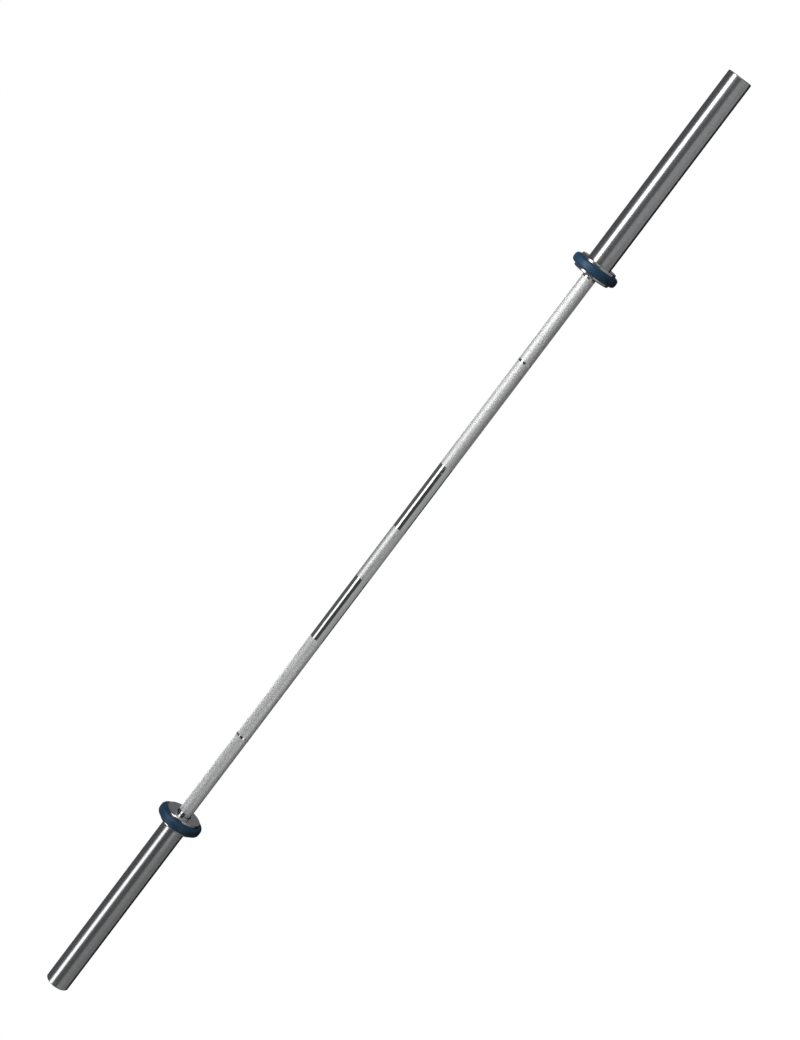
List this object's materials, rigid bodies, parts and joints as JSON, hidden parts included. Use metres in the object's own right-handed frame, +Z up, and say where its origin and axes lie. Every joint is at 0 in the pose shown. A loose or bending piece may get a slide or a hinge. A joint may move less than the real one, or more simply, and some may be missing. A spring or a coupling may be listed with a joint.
{
  "type": "olympic barbell",
  "caption": "Straight steel lifting bar with knurled grips and, at each end, a collar with a coloured ring and a free-spinning sleeve that carries weight plates.",
  "frame": {"origin": "the middle of the bar, on its axis", "axes": "+X along the bar towards the right sleeve, +Z up"},
  "size_m": [2.2, 0.095, 0.095],
  "materials": {
    "shaft_steel": "satin",
    "sleeve_chrome": "polished",
    "collar_chrome": "polished",
    "ring_plastic": "satin",
    "seal_rubber": "matte",
    "bronze": "satin",
    "bearing_steel": "polished",
    "cage_steel": "satin",
    "spacer_steel": "satin",
    "washer_steel": "satin",
    "spring_steel": "satin",
    "cap_aluminium": "satin"
  },
  "bodies": {
    "shaft": {"shaft": "shaft_steel", "inner_thrust_washer_left": "bronze", "outer_thrust_washer_left": "washer_steel", "shaft_circlip_left": "spring_steel", "inner_thrust_washer_right": "bronze", "outer_thrust_washer_right": "washer_steel", "shaft_circlip_right": "spring_steel"},
    "sleeve_left": {"sleeve_left": "sleeve_chrome", "collar_left": "collar_chrome", "colour_ring_left": "ring_plastic", "shaft_seal_left": "seal_rubber", "bronze_bush_left": "bronze", "spacer_tube_left": "spacer_steel", "end_cap_left": "cap_aluminium", "end_circlip_left": "spring_steel", "bearing_1_cup_left": "bearing_steel", "bearing_2_cup_left": "bearing_steel", "bearing_3_cup_left": "bearing_steel", "bearing_4_cup_left": "bearing_steel"},
    "needle_set_1_left": {"bearing_1_cage_left": "cage_steel", "bearing_1_needles_left": "bearing_steel"},
    "needle_set_2_left": {"bearing_2_cage_left": "cage_steel", "bearing_2_needles_left": "bearing_steel"},
    "needle_set_3_left": {"bearing_3_cage_left": "cage_steel", "bearing_3_needles_left": "bearing_steel"},
    "needle_set_4_left": {"bearing_4_cage_left": "cage_steel", "bearing_4_needles_left": "bearing_steel"},
    "sleeve_right": {"sleeve_right": "sleeve_chrome", "collar_right": "collar_chrome", "colour_ring_right": "ring_plastic", "shaft_seal_right": "seal_rubber", "bronze_bush_right": "bronze", "spacer_tube_right": "spacer_steel", "end_cap_right": "cap_aluminium", "end_circlip_right": "spring_steel", "bearing_1_cup_right": "bearing_steel", "bearing_2_cup_right": "bearing_steel", "bearing_3_cup_right": "bearing_steel", "bearing_4_cup_right": "bearing_steel"},
    "needle_set_1_right": {"bearing_1_cage_right": "cage_steel", "bearing_1_needles_right": "bearing_steel"},
    "needle_set_2_right": {"bearing_2_cage_right": "cage_steel", "bearing_2_needles_right": "bearing_steel"},
    "needle_set_3_right": {"bearing_3_cage_right": "cage_steel", "bearing_3_needles_right": "bearing_steel"},
    "needle_set_4_right": {"bearing_4_cage_right": "cage_steel", "bearing_4_needles_right": "bearing_steel"}
  },
  "joints": [
    {"name": "sleeve_left_spin", "type": "hinge", "parent": "shaft", "child": "sleeve_left", "pos_m": [-0.655, 0, 0], "axis": [1, 0, 0], "continuous": true},
    {"name": "needle_set_1_left_spin", "type": "hinge", "parent": "shaft", "child": "needle_set_1_left", "pos_m": [-0.655, 0, 0], "axis": [1, 0, 0], "continuous": true},
    {"name": "needle_set_2_left_spin", "type": "hinge", "parent": "shaft", "child": "needle_set_2_left", "pos_m": [-0.655, 0, 0], "axis": [1, 0, 0], "continuous": true},
    {"name": "needle_set_3_left_spin", "type": "hinge", "parent": "shaft", "child": "needle_set_3_left", "pos_m": [-0.655, 0, 0], "axis": [1, 0, 0], "continuous": true},
    {"name": "needle_set_4_left_spin", "type": "hinge", "parent": "shaft", "child": "needle_set_4_left", "pos_m": [-0.655, 0, 0], "axis": [1, 0, 0], "continuous": true},
    {"name": "sleeve_right_spin", "type": "hinge", "parent": "shaft", "child": "sleeve_right", "pos_m": [0.655, 0, 0], "axis": [1, 0, 0], "continuous": true},
    {"name": "needle_set_1_right_spin", "type": "hinge", "parent": "shaft", "child": "needle_set_1_right", "pos_m": [0.655, 0, 0], "axis": [1, 0, 0], "continuous": true},
    {"name": "needle_set_2_right_spin", "type": "hinge", "parent": "shaft", "child": "needle_set_2_right", "pos_m": [0.655, 0, 0], "axis": [1, 0, 0], "continuous": true},
    {"name": "needle_set_3_right_spin", "type": "hinge", "parent": "shaft", "child": "needle_set_3_right", "pos_m": [0.655, 0, 0], "axis": [1, 0, 0], "continuous": true},
    {"name": "needle_set_4_right_spin", "type": "hinge", "parent": "shaft", "child": "needle_set_4_right", "pos_m": [0.655, 0, 0], "axis": [1, 0, 0], "continuous": true}
  ],
  "couplings": [
    {"joint": "needle_set_1_left_spin", "follows": "sleeve_left_spin", "ratio": 0.54546},
    {"joint": "needle_set_2_left_spin", "follows": "sleeve_left_spin", "ratio": 0.54546},
    {"joint": "needle_set_3_left_spin", "follows": "sleeve_left_spin", "ratio": 0.54546},
    {"joint": "needle_set_4_left_spin", "follows": "sleeve_left_spin", "ratio": 0.54546},
    {"joint": "needle_set_1_right_spin", "follows": "sleeve_right_spin", "ratio": 0.54546},
    {"joint": "needle_set_2_right_spin", "follows": "sleeve_right_spin", "ratio": 0.54546},
    {"joint": "needle_set_3_right_spin", "follows": "sleeve_right_spin", "ratio": 0.54546},
    {"joint": "needle_set_4_right_spin", "follows": "sleeve_right_spin", "ratio": 0.54546}
  ]
}
